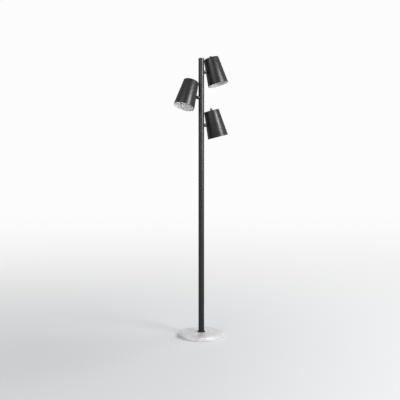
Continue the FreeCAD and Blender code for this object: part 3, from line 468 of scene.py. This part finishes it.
def softbox(name, azimuth, elevation, distance, size, radiance, target=HEADS, lights="all"):
    """A rectangular lamp that faces its target from a distance.

    The azimuth is in degrees to the right of the camera's side. The lamp lights all surfaces, or
    only their gloss, or only their matt part.
    """
    lamp = bpy.data.lights.new(name, "AREA")
    lamp.shape = "RECTANGLE"
    lamp.size, lamp.size_y = size
    lamp.energy = radiance * math.pi * size[0] * size[1]
    thing = bpy.data.objects.new(name, lamp)
    thing.visible_camera = False
    if lights == "gloss":
        thing.visible_diffuse = thing.visible_transmission = False
    elif lights == "matt":
        thing.visible_glossy = thing.visible_transmission = False
    scene.collection.objects.link(thing)
    turn, rise = math.radians(azimuth), math.radians(elevation)
    out = Vector((math.sin(turn) * math.cos(rise), -math.cos(turn) * math.cos(rise),
                  math.sin(rise)))
    aim(thing, Vector(target) + out * distance, target)


def directly_seen(n):
    """1 for camera, glossy and transmission rays, which see the white of the background."""
    path = n.add("ShaderNodeLightPath")
    seen = n.add("ShaderNodeMath", {0: path.outputs["Is Camera Ray"],
                                    1: path.outputs["Is Glossy Ray"]}, operation="ADD")
    seen = n.add("ShaderNodeMath", {0: seen.outputs[0], 1: path.outputs["Is Transmission Ray"]},
                 operation="ADD", use_clamp=True)
    return seen.outputs[0]


def build_world():
    world = bpy.data.worlds.new("studio")
    scene.world = world
    world.use_nodes = True
    n = Nodes(world.node_tree)
    plain = n.add("ShaderNodeBackground", {"Color": (0.97, 0.98, 1.0, 1.0), "Strength": 0.16})
    white = n.add("ShaderNodeBackground", {"Color": (1.0, 1.0, 1.0, 1.0), "Strength": BACKGROUND})
    mix = n.add("ShaderNodeMixShader", {0: directly_seen(n), 1: plain.outputs[0],
                                        2: white.outputs[0]})
    output = n.add("ShaderNodeOutputWorld")
    n.feed(output.inputs["Surface"], mix.outputs[0])


def build_floor():
    """A pale floor that turns into the background's white far away."""
    mesh = bpy.data.meshes.new("floor")
    angles = [2 * math.pi * i / FLOOR_SIDES for i in range(FLOOR_SIDES)]
    outline = [(FLOOR_REACH * math.cos(a), FLOOR_REACH * math.sin(a), 0.0) for a in angles]
    mesh.from_pydata(outline, [], [tuple(range(FLOOR_SIDES))])
    floor = bpy.data.objects.new("floor", mesh)
    scene.collection.objects.link(floor)
    material, n = new_material("floor_paper")
    place = n.add("ShaderNodeNewGeometry").outputs["Position"]
    distance = n.add("ShaderNodeVectorMath", {0: place, 1: PAPER_CENTRE},
                     operation="DISTANCE").outputs["Value"]
    steps = n.add("ShaderNodeMath", {0: distance, 1: PAPER_REACH}, operation="DIVIDE").outputs[0]
    square = n.add("ShaderNodeMath", {0: steps, 1: 2.0}, operation="POWER").outputs[0]
    above = n.add("ShaderNodeMath", {0: square, 1: 1.0}, operation="ADD").outputs[0]
    far = n.add("ShaderNodeMath", {0: square, 1: above}, operation="DIVIDE").outputs[0]
    share = n.add("ShaderNodeMath", {0: far, 1: directly_seen(n)}, operation="MULTIPLY")
    speck = noise(n, place, 220.0, 3.0).outputs["Fac"]
    colour = ramp(n, speck, [(0.3, (0.835, 0.85, 0.87, 1.0)), (0.7, (0.85, 0.865, 0.885, 1.0))])
    paper = n.add("ShaderNodeBsdfDiffuse", {"Color": colour})
    white = n.add("ShaderNodeEmission", {"Color": (1.0, 1.0, 1.0, 1.0), "Strength": BACKGROUND})
    mix = n.add("ShaderNodeMixShader", {0: share.outputs[0], 1: paper.outputs[0],
                                        2: white.outputs[0]})
    output = n.add("ShaderNodeOutputMaterial")
    n.feed(output.inputs["Surface"], mix.outputs[0])
    mesh.materials.append(material)


def build_camera():
    camera = bpy.data.cameras.new("camera")
    camera.sensor_fit = "HORIZONTAL"
    camera.sensor_width = SENSOR_WIDTH
    camera.lens = SENSOR_WIDTH * FOCAL_PIXELS / PHOTO_PIXELS
    camera.clip_start, camera.clip_end = 0.05, 500.0
    thing = bpy.data.objects.new("camera", camera)
    scene.collection.objects.link(thing)
    thing.location = CAMERA_PLACE
    thing.rotation_euler = (math.radians(90.0), 0.0, 0.0)
    scene.camera = thing


build_world()
build_floor()
build_camera()
softbox("key", 51.0, 20.0, 4.8, (1.6, 2.0), 18.0)
softbox("key_gleam", 48.0, 17.0, 4.3, (1.5, 1.9), 30.0, lights="gloss")
softbox("top", 115.0, 60.0, 5.0, (1.8, 1.8), 8.2, target=STAND_MIDDLE, lights="matt")
softbox("fill_gleam", -35.0, 26.0, 4.0, (1.6, 2.8), 6.4, lights="gloss")
softbox("low", -20.0, 2.0, 5.0, (1.8, 1.8), 9.5, target=STAND_MIDDLE, lights="matt")
softbox("bounce", 80.0, -42.0, 0.9, (0.6, 0.6), 6.6, target=(0.10, 0.0, 1.42), lights="matt")

scene.view_settings.view_transform = "Standard"
